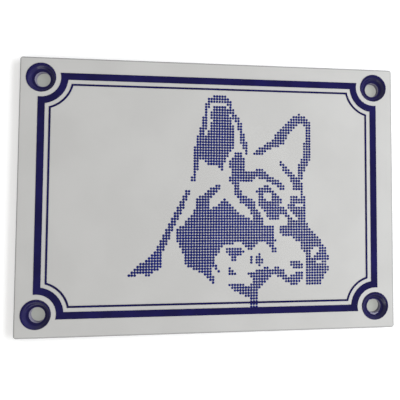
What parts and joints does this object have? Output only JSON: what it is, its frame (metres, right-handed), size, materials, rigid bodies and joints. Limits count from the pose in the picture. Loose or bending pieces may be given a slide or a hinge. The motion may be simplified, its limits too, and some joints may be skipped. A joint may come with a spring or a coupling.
{
  "type": "guard dog sign",
  "caption": "Enamelled sheet steel sign with pressed screw dimples at its corners, a blue border with concave corners and a dog's head in a printed screen of dots.",
  "frame": {"origin": "middle of the plate, on the plane that the backs of the four dimples lie in", "axes": "+X to the picture's right, +Y to the picture's top, +Z out of the face"},
  "size_m": [0.14, 0.1, 0.0024],
  "materials": {
    "white_enamel": "glossy fired enamel, white on the face and dark ground coat on the back",
    "blue_enamel": "glossy fired enamel, dark cobalt blue",
    "blue_screen": "glossy fired enamel, the mean colour of blue dots on white"
  },
  "bodies": {
    "root": {"enamelled_plate": "white_enamel", "border_band": "blue_enamel", "border_line": "blue_enamel", "hole_rings": "blue_enamel", "dog_figure": "blue_screen"}
  },
  "joints": []
}
